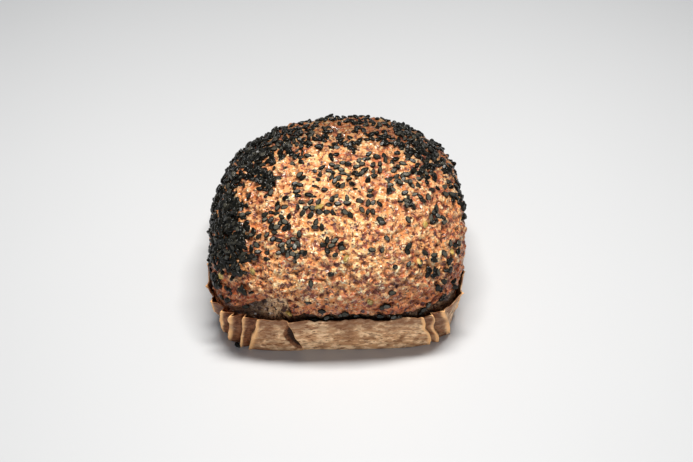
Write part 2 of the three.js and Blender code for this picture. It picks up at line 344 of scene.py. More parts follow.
# %% [markdown]
# ## One seed
# A black sesame seed is a flat drop, 3 mm long, with a bevelled edge round its face. It is
# repeated well over a thousand times, so it has only a few dozen faces. A small globe gives it its
# roundness, and moving its corners gives it a point, a nearly flat face and the bevel.

# %% Model the seed
seed_length, seed_width, seed_thickness = 3.1 * mm, 1.9 * mm, 0.95 * mm
seed_taper = 0.3
# The seed's rings from its edge to its middle: share of its half-width, and share of its height.
seed_rings = {1.0: (1.0, 0.0), 0.87: (0.93, 0.3), 0.5: (0.62, 0.47), 0.0: (0.0, 0.5)}


def model_seed():
    """One seed at the origin, pointed towards +X, with its flat face up."""
    bm = bmesh.new()
    bmesh.ops.create_uvsphere(bm, u_segments=8, v_segments=6, radius=0.5)
    face_layer = bm.verts.layers.float.new("face")
    for corner in bm.verts:
        across = corner.co.xy.length / 0.5
        ring = min(seed_rings, key=lambda ring: abs(ring - across))
        reach, rise = seed_rings[ring]
        wider = reach / across if across > 0.1 else 0
        x, y = corner.co.x * wider, corner.co.y * wider
        taper = 1 - seed_taper * x * 2
        corner.co = Vector((x, y * taper, math.copysign(rise, corner.co.z)))
        corner[face_layer] = 1 if ring < 0.8 else 0
    for face in bm.faces:
        face.smooth = any(corner[face_layer] == 0 for corner in face.verts)
    bmesh.ops.scale(bm, vec=(seed_length, seed_width, seed_thickness), verts=bm.verts)
    mesh = bpy.data.meshes.new("seed_model")
    bm.to_mesh(mesh)
    bm.free()
    return mesh


# %% [markdown]
# ## Where the seeds lie
# The seeds were thrown on from the left and the back, so those sides are black with them and the
# front is nearly bare. Seeds that lie apart are named one by one, each by its pixel and heading. The
# thick groups are named by the pixel at their middle, their spread in pixels and their number of
# seeds, and draws round that pixel are followed along the camera's sight to the crust. A drawn seed
# keeps off its neighbours a little, and in the thick groups some lie on others.

# %% Groups of seeds that the photograph shows: x, y, spread, number
flank_groups = [
    (228, 185, 6, 30), (222, 204, 6, 34), (232, 204, 6, 26), (218, 225, 5, 34), (232, 226, 7, 36),
    (219, 245, 5, 32), (235, 245, 7, 38), (225, 262, 6, 32), (214, 261, 4, 16), (217, 279, 3, 7),
    (244, 257, 4, 8), (238, 214, 5, 12), (238, 270, 4, 7), (243, 236, 4, 10),
]
back_left_groups = [
    (250, 147, 6, 34), (262, 140, 6, 34), (277, 136, 7, 36), (294, 131, 6, 26), (240, 160, 5, 24),
    (253, 160, 7, 28), (270, 152, 6, 26), (289, 149, 6, 20), (304, 144, 5, 9), (234, 173, 4, 14),
    (300, 158, 4, 5), (262, 177, 5, 24), (271, 181, 4, 14), (254, 171, 4, 12), (245, 178, 4, 9),
]
back_groups = [
    (312, 121, 5, 16), (327, 119, 5, 14), (345, 119, 6, 16), (362, 120, 6, 16), (378, 122, 6, 16),
    (392, 124, 5, 16), (310, 130, 5, 10), (325, 134, 4, 10), (318, 141, 4, 6), (340, 141, 4, 9),
    (350, 147, 4, 8), (372, 137, 5, 12), (384, 141, 4, 7), (361, 132, 4, 5), (334, 150, 5, 4),
]
back_right_groups = [
    (405, 131, 6, 36), (418, 139, 6, 34), (430, 149, 6, 28), (400, 142, 6, 18), (410, 152, 7, 26),
    (425, 160, 6, 26), (438, 163, 5, 18), (419, 171, 5, 16), (445, 172, 4, 10), (431, 178, 4, 8),
    (459, 183, 3, 10), (460, 195, 3, 10), (462, 206, 3, 9), (463, 219, 2, 3), (454, 190, 3, 4),
]
# Seeds that lie apart enough to be told one from another: the pixel at the middle, and the heading
# in degrees, anticlockwise from the right.
single_seeds = [
    (285, 169, 10), (293, 164, -35), (308, 156, -20), (300, 175, 35), (303, 178, 10), (315, 172, -20),
    (320, 175, 75), (322, 168, 40), (319, 180, 5), (315, 187, -5), (325, 190, 10), (295, 184, 20),
    (295, 188, 90), (300, 185, -30), (297, 192, 30), (298, 196, 0), (309, 195, -10), (313, 197, 0),
    (311, 202, 50), (319, 202, 60), (302, 203, 20), (298, 207, 70), (306, 208, 30), (313, 208, 0),
    (303, 213, 60), (311, 215, 60), (320, 212, -15), (327, 212, -10), (333, 213, 100), (329, 205, -15),
    (332, 199, 60), (336, 197, 50), (338, 204, -5), (316, 222, 70), (315, 227, 5), (322, 227, 100),
    (299, 234, 90), (249, 196, 60), (271, 192, 60), (267, 196, 60), (286, 198, 0), (278, 204, 55),
    (285, 208, 15), (278, 208, 50), (265, 215, 30), (272, 213, 10), (265, 220, 40), (271, 220, 60),
    (277, 214, -10), (282, 217, -30), (289, 217, 70), (285, 222, -30), (272, 226, 55), (277, 227, 20),
    (281, 223, 60), (289, 227, 80), (285, 228, 60), (275, 232, 0), (267, 235, 60), (252, 235, -10),
    (259, 236, 40), (273, 239, 40), (279, 240, 5), (282, 245, 30), (283, 249, 90), (279, 253, 10),
    (289, 242, 50), (294, 240, -20), (290, 246, 10), (295, 247, 90), (298, 244, -50), (289, 251, 30),
    (288, 255, 90), (293, 254, -30), (297, 256, 40), (303, 252, 0), (306, 252, 60), (295, 261, -20),
    (267, 253, 40), (257, 245, -40), (258, 252, 0), (267, 259, 0), (255, 258, 40), (249, 260, 50),
    (327, 240, 100), (323, 245, -10), (332, 246, 5), (335, 241, 30), (327, 251, 100), (335, 255, 20),
    (341, 244, 70), (342, 248, 0), (369, 154, 40), (377, 157, -20), (384, 156, 100), (385, 160, 100),
    (368, 159, 60), (364, 160, 30), (359, 161, 60), (362, 164, 0), (357, 167, 0), (373, 165, 60),
    (380, 164, 80), (380, 170, 80), (365, 170, 30), (362, 173, 20), (358, 175, -10), (355, 173, 5),
    (373, 172, 70), (374, 176, 20), (368, 180, 70), (343, 163, 10), (348, 164, 0), (337, 167, 20),
    (341, 170, 0), (343, 174, 15), (338, 178, 35), (333, 173, 40), (348, 176, 5), (349, 179, -20),
    (352, 184, -10), (338, 185, 100), (342, 186, 50), (335, 181, 60), (332, 178, 90), (329, 171, 0),
    (332, 165, -30), (355, 190, 130), (370, 191, 0), (370, 196, 0), (347, 198, 100), (347, 203, 5),
    (360, 201, -15), (368, 203, 80), (373, 203, 45), (379, 204, 120), (362, 210, -50), (368, 212, 70),
    (373, 212, -60), (345, 212, -35), (350, 215, -50), (380, 219, -20), (382, 223, 0), (408, 220, -60),
    (387, 238, -45), (372, 250, 0), (382, 250, 30), (409, 246, 50), (407, 251, 120), (387, 181, -30),
    (390, 179, 20), (396, 177, 50), (397, 181, 20), (399, 183, -20), (402, 176, 50), (403, 180, 60),
    (406, 175, 0), (408, 174, 20), (407, 182, 20), (409, 183, 60), (412, 186, -60), (418, 186, 90),
    (390, 185, 0), (389, 190, 90), (393, 190, -20), (389, 194, 40), (395, 169, 0), (394, 171, 30),
    (397, 168, 60), (392, 163, 90), (403, 164, -20), (415, 195, 20), (420, 197, -50), (423, 201, -20),
    (428, 197, 110), (405, 193, 30), (401, 202, 60), (406, 201, 0), (406, 205, 90), (409, 202, 50),
    (410, 205, 0), (412, 207, -50), (408, 198, 30), (416, 174, 40), (419, 173, 60), (418, 179, 0),
    (431, 175, -50), (432, 166, -10), (427, 168, 0), (431, 190, 0), (437, 189, -10), (444, 187, 30),
    (445, 194, -15), (448, 182, 0), (436, 208, 90), (434, 212, 70), (438, 216, -40), (443, 218, -60),
    (432, 222, -10), (436, 220, 30), (431, 218, 80), (444, 222, 20), (425, 253, 0), (434, 255, 20),
    (434, 260, -20), (444, 253, -50), (450, 243, 90), (409, 264, 60), (420, 263, 80), (458, 251, 60),
    (387, 306, 0), (383, 307, 30), (308, 302, -10), (392, 293, 0), (232, 293, 30), (252, 292, 20),
    (222, 297, 60), (246, 306, 0), (228, 300, 20), (322, 311, 0),
]
# Seeds caught in the crease between the lip and the paper, named the same way.
crease_seeds = [
    (300, 321, 0), (317, 318, 15), (326, 317, 20), (332, 316, 10), (341, 314, 0), (357, 315, 0),
    (380, 314, -5), (394, 316, 20), (399, 314, 0), (420, 311, 60), (427, 304, 40), (440, 298, 40),
    (423, 308, 50), (442, 295, 50), (312, 319, 0), (346, 313, 10),
]
loose_groups = [
    (427, 271, 3, 5), (436, 272, 3, 4), (395, 267, 1, 2), (454, 196, 2.5, 7),
    (442, 286, 3, 4), (450, 269, 3, 5), (455, 283, 2, 4), (447, 261, 2, 3), (457, 245, 2, 2),
    (331, 274, 0, 1), (311, 284, 0, 1), (243, 290, 2, 3), (231, 289, 2, 3),
    (218, 287, 2, 3),
]

# %% Groups on the sides that the photograph doesn't show: turn, lean, spread in mm, number
unseen_groups = [
    (165, 72, 9, 70), (195, 80, 8, 46), (182, 92, 6, 16), (140, 70, 10, 60), (115, 62, 9, 34),
    (90, 66, 12, 34), (60, 64, 10, 40), (35, 66, 9, 40), (10, 74, 9, 34), (90, 86, 20, 26),
    (150, 90, 10, 22), (20, 88, 10, 16), (60, 84, 10, 14),
]

# %% [markdown]
# ## Laying the seeds
# Many small things are one joined mesh. The seed is copied into it once for each place, turned to
# the crust there, tipped a little at random and sunk a little into the crust. Each keeps its own
# shade value, how strong a painted sheen its face gets, drawn at random and higher for the seeds
# told apart, which the finish reads.

# %% Lay the seeds
seed_spacing = 1.45 * mm
pile_share = 0.55
pile_lift = 0.6 * mm
seed_tip = math.radians(11)
seed_sink, seed_middle = 0.12 * mm, 0.36
seed_sizes = (0.88, 1.1)
crease_lift = 0.8 * mm
crowding, spread_up = 0.5, 0.8
lowest_seed = 18.5 * mm
ray_start = 5
# How strong the painted sheen on a seed's face may be: for the seeds told apart, and for the rest.
told_face_sheen, other_face_sheen = (0.45, 1), (0, 0.8)
flank_share, back_left_share, back_share = 2.2, 1.6, 1.2
draws = random.Random(20251125)


def facing_at(place):
    """The way out from the roll's inside at a place on the crust, blended with the crust's own."""
    way = (place - roll_middle - Vector((0, 0, belly_height * 0.8))).normalized()
    _, face_way, _, _ = crust_tree.ray_cast(place + way * ray_start * mm, -way)
    return (way + face_way).normalized() if face_way else way


def crust_hit(start, way):
    place, facing, _, _ = crust_tree.ray_cast(start, way)
    return (place, facing) if place and place.z > lowest_seed else None


def shown_places(groups, share=1):
    """Places for seeds drawn round pixels of the photograph."""
    for x, y, spread, number in groups:
        for _ in range(round(number * share)):
            start, way = sight_through(draws.gauss(x, spread), draws.gauss(y, spread * spread_up))
            yield crust_hit(start, way), None, 0


def single_places(seeds, lift=0):
    """Places and headings for the seeds that are told apart."""
    right = Vector((math.cos(view_turn), math.sin(view_turn), 0))
    for x, y, heading in seeds:
        turn = math.radians(heading)
        along = right * math.cos(turn) + back_way.cross(right) * math.sin(turn)
        yield crust_hit(*sight_through(x, y)), along, lift


def unseen_places(groups):
    """Places for seeds drawn round a turn and lean."""
    for turn, lean, spread, number in groups:
        for _ in range(number):
            arm = roll_width / 2
            lean_here = math.radians(lean) + draws.gauss(0, spread * mm / arm)
            turn_here = math.radians(turn) + draws.gauss(0, spread * mm / arm)
            point = roll_middle + smooth_roll_point(turn_here, abs(lean_here))
            facing = roll_facing(turn_here, abs(lean_here))
            yield crust_hit(point + facing * ray_start * mm, -facing), None, 0


def keep_apart(places):
    """Drops a place that crowds one before it, and lifts some seeds onto others in the heaps."""
    kept = []
    for found, along, lift in places:
        if not found:
            continue
        place, facing = found
        nearest = min(((place - other[0]).length for other in kept), default=1)
        lifted = nearest < seed_spacing
        crowded = nearest < crowding * seed_spacing or draws.random() > pile_share
        if lifted and crowded and not along:
            continue
        kept.append((place, facing, pile_lift if lifted else lift, along))
    return kept


def seed_stand(place, facing, lift, along=None):
    """The matrix that lays a seed: its heading or a random one, a little tip, sunk into the crust."""
    tipped = Vector([value + draws.gauss(0, seed_tip) for value in facing]).normalized()
    along = along or Vector([draws.gauss(0, 1) for _ in range(3)])
    side = tipped.cross(along).normalized()
    turned = Matrix((side.cross(tipped), side, tipped)).transposed().to_4x4()
    size = Matrix.Scale(draws.uniform(*seed_sizes), 4)
    middle = place + facing * (lift + seed_thickness * seed_middle - seed_sink)
    return Matrix.Translation(middle) @ turned @ size


seed_mesh = model_seed()
loose_places = shown_places(loose_groups)
flank_places = [*shown_places(flank_groups, flank_share), *shown_places(back_left_groups, back_left_share)]
back_places = shown_places(back_groups + back_right_groups, back_share)
told_apart = [*single_places(single_seeds), *single_places(crease_seeds, crease_lift)]
found_places = [*told_apart, *loose_places, *flank_places, *back_places, *unseen_places(unseen_groups)]
bm = bmesh.new()
seed_places = keep_apart(found_places)
for place, facing, lift, along in seed_places:
    stand = seed_stand(place, (facing + facing_at(place)).normalized(), lift, along)
    seed_mesh.transform(stand)
    bm.from_mesh(seed_mesh)
    seed_mesh.transform(stand.inverted())
# Each seed's shade value: how strong the painted sheen on its face is.
face_sheen_layer = bm.verts.layers.float.new("shade")
face_sheens = [draws.uniform(*(told_face_sheen if place[3] else other_face_sheen)) for place in seed_places]
for index, corner in enumerate(bm.verts):
    corner[face_sheen_layer] = face_sheens[index // len(seed_mesh.vertices)]
seeds = finished_object("sesame_seeds", bm, smooth=False)
print("seeds laid:", len(seed_places))
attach(seeds, "root")

# %% [markdown]
# ## Bits of grain
# A few husked grains show through the crust, yellow or olive. Each is a rough ball drawn out long,
# half sunk where the photograph shows it.

# %% Lay the bits of grain: x, y, length and width in mm
grain_bits = [
    (222, 275, 3.2, 2.8), (425, 225, 2.8, 2.2), (346, 259, 2.8, 2), (319, 207, 4.2, 2.4),
    (252, 271, 5, 2.4), (451, 251, 3.2, 2), (289, 313, 2.2, 3.4), (370, 302, 2.6, 1.8),
    (419, 262, 2.4, 1.8),
]
grain_flatness, grain_lumps, grain_lump_scale = 0.36, 0.4, 5
bm = bmesh.new()
for x, y, length, width in grain_bits:
    hit = crust_hit(*sight_through(x, y))
    if not hit:
        continue
    place, facing = hit
    size = (length * mm, width * mm, width * mm * grain_flatness, 1)
    stand = seed_stand(place, facing, 0) @ Matrix.Diagonal(size)
    made = bmesh.ops.create_icosphere(bm, subdivisions=3, radius=0.5)["verts"]
    for corner in made:
        corner.co *= 1 + grain_lumps * noise.noise(corner.co * grain_lump_scale + Vector((x, y, 0)))
    bmesh.ops.transform(bm, matrix=stand, verts=made)
grains = finished_object("grain_bits", bm)
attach(grains, "root")

# %% [markdown]
# ## The paper case
# The case is one square of baking paper pressed up round the dough. Its four panels are nearly
# flat. The paper that is too much at each corner is gathered into sharp pleats, which lean from the
# foot to the rim. It could be folded by simulation, but the folds here are few and seen from close,
# so each is placed one by one: a straight tube of paper is drawn up in rows, its columns are leaned
# the way the pleats lean, and then it is pushed out to the square with a crest at each pleat.

# %% Sizes of the case, and its pleats
case_height = 20.2 * mm
case_foot_width, case_rim_width = 92 * mm, 99.2 * mm
foot_squareness, rim_squareness = 5.3, 4.5
paper_thickness = 0.3 * mm
rim_wave, crest_rise = 0.8 * mm, 0.4
# Each pleat: the turn of its crest at the foot and at the rim in degrees, and its height in mm.
# The one of no height is the edge of the lap.
pleats = [
    (24, 27, 1.3), (31, 32.5, 1.6), (38, 38.5, 1.8), (46, 44.5, 1.5), (52.5, 51, 1.8), (60, 57, 1.3),
    (117, 120, 1.4), (124, 126, 1.7), (131, 131.5, 1.9), (139, 138, 1.5), (146, 144, 1.7),
    (153, 150.5, 1.2), (195, 199, 0.8), (203.5, 211, 1.3), (211, 219, 1.4), (217.6, 226, 1.6),
    (222.8, 230.2, 1.8), (228.8, 234.6, 1.5), (232.4, 239.6, 1.5), (253.4, 250.3, 0), (308.4, 303.3, 1.4),
    (311.9, 306.4, 1.7), (318.5, 310.6, 1.9), (330, 322.5, 1.5), (338.5, 333.8, 1.4), (344.5, 341.5, 1.2),
]
# Widths round the rim are in degrees, and the depth of a valley is in mm.
pleat_half = 1
pleat_reach = 9.7
valley_depth = 1.5
foot_pleat_share = 0.6
# The last two are the widths of the painted highlight along a crest and along the lap's edge.
pleat_bend, pleat_swell, crest_highlight_width, lap_edge_highlight_width = 1.5, 0.8, 1.5, 0.7
ragged_height, ragged_size = 1.1 * mm, 7 * mm
frayed_height, frayed_size = 0.6 * mm, 1.8 * mm
crumple_depth, crumple_size, fine_crumple_depth, crumple_ratio = 0.5 * mm, 9 * mm, 0.25 * mm, 3.1
# The lap of the front panel: the turn of its edge at the rim, its step, and how far it fades.
lap_rim, lap_step, lap_tail = 250.3, 1 * mm, 24
lap_pocket, pocket_width = 1.5 * mm, 3.4


def between_pleats(rim_turn):
    """The pleats on both sides of a turn at the rim, the gap between them, and the share passed."""
    before, after = pleats[-1], pleats[0]
    for low, high in zip(pleats, pleats[1:]):
        if low[1] <= rim_turn < high[1]:
            before, after = low, high
    gap = (after[1] - before[1]) % 360
    return before, after, gap, ((rim_turn - before[1]) % 360) / gap


def lap_shade(past, up):
    """1 in the pocket on the left of the lap's edge, widest at half height; a shadow is painted there."""
    width = pocket_width * math.sin(math.pi * min(1, max(0, up * 1.2 - 0.05)))
    return ease(past, -width - 0.5, -width * 0.75) * (past < 0.1) * min(1, width)


def lap_relief(rim_turn, up):
    """The front panel's right half lies over its left half, with a pocket under the edge."""
    past = rim_turn - lap_rim
    over = lap_step * mix(-0.5, 1, ease(up, 0, 0.5)) * ease(past, -0.25, 0.15)
    over *= 1 - ease(past, 1, lap_tail)
    return over - lap_pocket * lap_shade(past, up)


def pleat_relief(before, after, gap, share):
    """Facets that fall from a crest to a valley and rise to the next: relief in mm, and valley."""
    _, _, first = before
    _, _, second = after
    if gap > pleat_reach:
        fall = first * math.exp(-share * gap / pleat_half)
        rise = second * math.exp((share - 1) * gap / pleat_half)
        return max(fall, rise), 0
    bottom = 0.5 + 0.25 * math.sin(math.radians(2 * before[0]))
    if share < bottom:
        return mix(first, -valley_depth, share / bottom), share / bottom
    rise = (share - bottom) / (1 - bottom)
    return mix(-valley_depth, second, rise), 1 - rise


def paper_crumple(x, y, height):
    """Soft dents of handled paper."""
    place = Vector((x, y, height)) / crumple_size
    return crumple_depth * noise.noise(place) + fine_crumple_depth * noise.noise(place * crumple_ratio)


def case_point(rim_turn, up):
    """A point of the paper's outer face, its painted highlight, and how much of a valley it is."""
    before, after, gap, share = between_pleats(rim_turn)
    foot_turn = before[0] + share * ((after[0] - before[0]) % 360)
    rim_here = before[1] + share * gap
    bend = pleat_bend * noise.noise(Vector((rim_turn / 5, up * 2.4, 3))) * math.sin(math.pi * up)
    turn = math.radians(mix(foot_turn, rim_here, up) + bend)
    crest, valley = pleat_relief(before, after, gap, share)
    swell = 1 + pleat_swell * noise.noise(Vector((before[0], up * 2.6, 9)))
    nearest = min(share, 1 - share) * gap
    pleated = before[2] if share < 0.5 else after[2]
    # Painted highlight along each pleat's crest, its strength varied by the swell.
    highlight_share = math.exp(-(nearest / crest_highlight_width) ** 2) * min(1, 0.3 + 0.7 * swell) if pleated else 0
    past = rim_turn - lap_rim
    # In the lap's pocket the valley value goes up to 2, where the finish paints a dark shadow.
    valley = max(valley, 2 * lap_shade(past, up))
    # The lap's edge gets a painted highlight too.
    highlight_share = max(highlight_share, (past > 0) * math.exp(-past / lap_edge_highlight_width))
    squareness = mix(foot_squareness, rim_squareness, up)
    flat = mix(case_foot_width, case_rim_width, up) / 2 * square_reach(turn, squareness)
    across, along = flat * math.cos(turn), flat * math.sin(turn) * roll_depth / roll_width
    wave = math.sin(math.radians(rim_turn) * 3 + 1)
    ragged = ragged_height * noise.noise(Vector((across, along, 0)) / ragged_size)
    ragged += frayed_height * noise.noise(Vector((across, along, 0)) / frayed_size)
    height = up * (case_height + rim_wave * wave / 2 + crest_rise * crest * mm + ragged)
    arm = flat + crest * mm * swell * mix(foot_pleat_share, 1, up)
    arm += lap_relief(rim_turn, up) + paper_crumple(across, along, height) * ease(up, 0, 0.2)
    y = arm * math.sin(turn) * roll_depth / roll_width
    x = skewed(arm * math.cos(turn), y, height)
    return roll_middle + Vector((x, y, height)), highlight_share, valley


# %% Draw up the case and gather it
case_columns = 720
case_rows = 24
corner_crowding = 0.13
bm = bmesh.new()
bmesh.ops.create_circle(bm, cap_ends=True, segments=case_columns, radius=1)
rim_edges = bm.edges[:]
for _ in range(case_rows):
    drawn = bmesh.ops.extrude_edge_only(bm, edges=rim_edges)["geom"]
    row_corners = [item for item in drawn if isinstance(item, bmesh.types.BMVert)]
    bmesh.ops.translate(bm, vec=(0, 0, 1), verts=row_corners)
    row_top = set(row_corners)
    rim_edges = [item for item in drawn if isinstance(item, bmesh.types.BMEdge)
                 and row_top.issuperset(item.verts)]
# The crest layer holds the painted highlight; the valley layer holds how much of a valley each place is, up
# to 2 in the lap's pocket, where a shadow is painted.
highlight_layer = bm.verts.layers.float.new("crest")
valley_layer = bm.verts.layers.float.new("valley")
for corner in bm.verts:
    even = math.atan2(corner.co.y, corner.co.x)
    rim_turn = math.degrees(even + corner_crowding * math.sin(4 * even)) % 360
    corner.co, corner[highlight_layer], corner[valley_layer] = case_point(rim_turn, corner.co.z / case_rows)
bmesh.ops.recalc_face_normals(bm, faces=bm.faces)
bmesh.ops.solidify(bm, geom=bm.faces[:], thickness=paper_thickness)
case_tree = BVHTree.FromBMesh(bm)
case = finished_object("paper_shell", bm)
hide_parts("paper_case")
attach(case, "root")

# %% [markdown]
# ## The seed at the foot
# One seed has dropped to the foot of the case, at its front left corner. It lies on the line of
# sight through its pixel, at a set height, so close to the paper that it seems to stick to it.

# %% Lay the dropped seed
dropped_pixel = (237.2, 345.3)
dropped_height, dropped_lift = 1.8 * mm, -0.65 * mm
dropped_facing, dropped_heading = Vector((-0.45, -0.9, 0.75)), Vector((0.7, -0.4, -0.4))
start, way = sight_through(*dropped_pixel)
spot = start + way * ((dropped_height - start.z) / way.z)
_, _, _, gap = case_tree.find_nearest(spot)
print(f"spot on the line of sight: {gap / mm:.1f} mm from the case")
seed_mesh.transform(seed_stand(spot, dropped_facing.normalized(), dropped_lift, dropped_heading))
bm = bmesh.new()
bm.from_mesh(seed_mesh)
dropped = finished_object("dropped_seed", bm, smooth=False)
bpy.data.meshes.remove(seed_mesh)
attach(dropped, "root")

# %% [markdown]
# ## Finishes
# Every finish here is mottled, so one node group makes the mottling: a noise pushed to more
# contrast. It reads Object coordinates in metres, and its size is given in millimetres.

# %% A mottle that every finish uses


def feed(tree, socket, value):
    """Links another node's output to a socket, or sets the socket to a number or a colour."""
    if isinstance(value, bpy.types.NodeSocket):
        tree.links.new(value, socket)
    else:
        socket.default_value = (*value, 1) if isinstance(value, tuple) else value


def math_node(tree, operation, *values):
    node = tree.nodes.new("ShaderNodeMath")
    node.operation = operation
    for socket, value in zip(node.inputs, values):
        feed(tree, socket, value)
    return node.outputs[0]


def product(tree, first, second):
    return math_node(tree, "MULTIPLY", first, second)


def smooth_ramp(tree, value, start, end):
    """0 where the value is start, 1 where it is end, and smooth between them."""
    ramp = tree.nodes.new("ShaderNodeMapRange")
    ramp.interpolation_type = "SMOOTHSTEP"
    for label, given in (("Value", value), ("From Min", start), ("From Max", end)):
        feed(tree, ramp.inputs[label], given)
    return ramp.outputs["Result"]


def make_mottle():
    """A mask from 0 to 1: spots of a size in millimetres, with softer or harder edges."""
    group = bpy.data.node_groups.new("mottle", "ShaderNodeTree")
    group.interface.new_socket("Place", in_out="INPUT", socket_type="NodeSocketVector")
    for label in ("Size", "Detail", "Middle", "Softness"):
        group.interface.new_socket(label, in_out="INPUT", socket_type="NodeSocketFloat")
    group.interface.new_socket("Mask", in_out="OUTPUT", socket_type="NodeSocketFloat")
    given = group.nodes.new("NodeGroupInput").outputs
    result = group.nodes.new("NodeGroupOutput")
    spots = group.nodes.new("ShaderNodeTexNoise")
    spots.inputs["Roughness"].default_value = 0.6
    feed(group, spots.inputs["Vector"], given["Place"])
    feed(group, spots.inputs["Detail"], given["Detail"])
    feed(group, spots.inputs["Scale"], math_node(group, "DIVIDE", 1 / mm, given["Size"]))
    low = math_node(group, "SUBTRACT", given["Middle"], given["Softness"])
    high = math_node(group, "ADD", given["Middle"], given["Softness"])
    feed(group, result.inputs["Mask"], smooth_ramp(group, spots.outputs["Fac"], low, high))
    return group


mottle_group = make_mottle()


def new_finish(name):
    material = bpy.data.materials.new(name)
    material.use_nodes = True
    return material, material.node_tree


def set_shader(tree, values):
    """Feeds the shader's sockets. What is the same all over is set on the socket itself."""
    shader = tree.nodes["Principled BSDF"]
    for label, value in values.items():
        feed(tree, shader.inputs[label], value)


def place_of(tree, stretch=(1, 1, 1)):
    """Object coordinates, stretched along the axes."""
    coordinates = tree.nodes.new("ShaderNodeTexCoord")
    mapping = tree.nodes.new("ShaderNodeMapping")
    mapping.inputs["Scale"].default_value = stretch
    tree.links.new(coordinates.outputs["Object"], mapping.inputs["Vector"])
    return mapping.outputs["Vector"]


def mottle(tree, place, size, middle=0.5, softness=0.1, detail=3):
    node = tree.nodes.new("ShaderNodeGroup")
    node.node_tree = mottle_group
    given = {"Place": place, "Size": size, "Detail": detail, "Middle": middle, "Softness": softness}
    for label, value in given.items():
        feed(tree, node.inputs[label], value)
    return node.outputs["Mask"]


def blend(tree, share, first, second, kind="MIX"):
    node = tree.nodes.new("ShaderNodeMix")
    node.data_type = "RGBA"
    node.blend_type = kind
    for index, value in ((0, share), (6, first), (7, second)):
        feed(tree, node.inputs[index], value)
    return node.outputs[2]


def share_along(tree, axis, start, end):
    """0 before start and 1 past end, in mm along an axis."""
    coordinates = tree.nodes.new("ShaderNodeTexCoord")
    split = tree.nodes.new("ShaderNodeSeparateXYZ")
    tree.links.new(coordinates.outputs["Object"], split.inputs[0])
    return smooth_ramp(tree, split.outputs[axis], start * mm, end * mm)


def attribute_share(tree, name, start, end):
    """0 where the mesh's own value is start and 1 where it is end."""
    value = tree.nodes.new("ShaderNodeAttribute")
    value.attribute_name = name
    return smooth_ramp(tree, value.outputs["Fac"], start, end)


def bumped(tree, height, depth, below=None):
    node = tree.nodes.new("ShaderNodeBump")
    node.inputs["Strength"].default_value = 1
    node.inputs["Distance"].default_value = depth
    tree.links.new(height, node.inputs["Height"])
    if below:
        tree.links.new(below, node.inputs["Normal"])
    return node.outputs["Normal"]


# %% [markdown]
# ## The crust's finish
# Baked wholegrain is tan with cream flecks where flour shows and purple-brown flecks of bran. The
# cream and flour flecks are also a painted highlight, stronger on the raised relief, and the hollows
# are painted darker as shade. It looks moist, so its gloss breaks into small glints on a fine bump.
# Painted shade darkens it low down and on the right side, and it is also darker at the back and on
# the left. On the ledge under the lip the torn dough shows pale folds and dark cracks. The ledge's
# ends, which lie in shade, are painted paler, and a painted shadow runs in the crease under the lip.

# %% Finish of the crust
# The cream and flour flecks are also a painted highlight on the raised relief, and the pit colour is also
# painted shade in the hollows.
tan, cream_and_highlight, flour_and_highlight = (1.0, 0.39, 0.115), (1.0, 0.67, 0.31), (1.0, 0.9, 0.58)
toasted, bran, pit_and_hollow_shade = (0.70, 0.20, 0.062), (0.29, 0.072, 0.036), (0.085, 0.018, 0.014)
# The ledge: torn dough, its pale folds, also painted as light on the shaded ends, and its cracks, also the
# painted shadow under the lip.
recess, pale_fold_and_painted_light, crack_and_shadow = (0.46, 0.20, 0.08), (1.0, 0.66, 0.36), (0.04, 0.014, 0.007)
# The darker sides: the axis, where in mm the darkening starts and is full, and its tint. Low down
# and on the right side the darkening is painted shade.
side_shades_and_tints = [
    ("Z", 38, 22, (0.80, 0.52, 0.42)), ("Y", -4, 20, (0.41, 0.33, 0.27)),
    ("X", 5, 30, (0.85, 0.77, 0.73)), ("X", -12, -36, (0.78, 0.64, 0.57)),
]
# Mottles: the size of the spots in mm, and then the middle, softness and detail where they differ.
toast_spots, cream_spots, bran_spots = (8, 0.5, 0.12), (2.1, 0.47, 0.06, 2), (1.7, 0.555, 0.035)
flour_spots, pit_spots = (1.35, 0.58, 0.04, 1), (1.9, 0.61, 0.025, 4)
fold_spots, crack_spots = (1.2, 0.5, 0.04), (1.5, 0.54, 0.02, 4)
gloss_spots, wet_spots = (3.4, 0.5, 0.2), (1.8, 0.54, 0.05)
grit_spots, knob_spots = (0.9, 0.5, 0.3, 2), (2.1, 0.5, 0.3)
grit_depth, knob_depth = 0.45 * mm, 0.7 * mm
least_rough, rougher = 0.26, 0.24


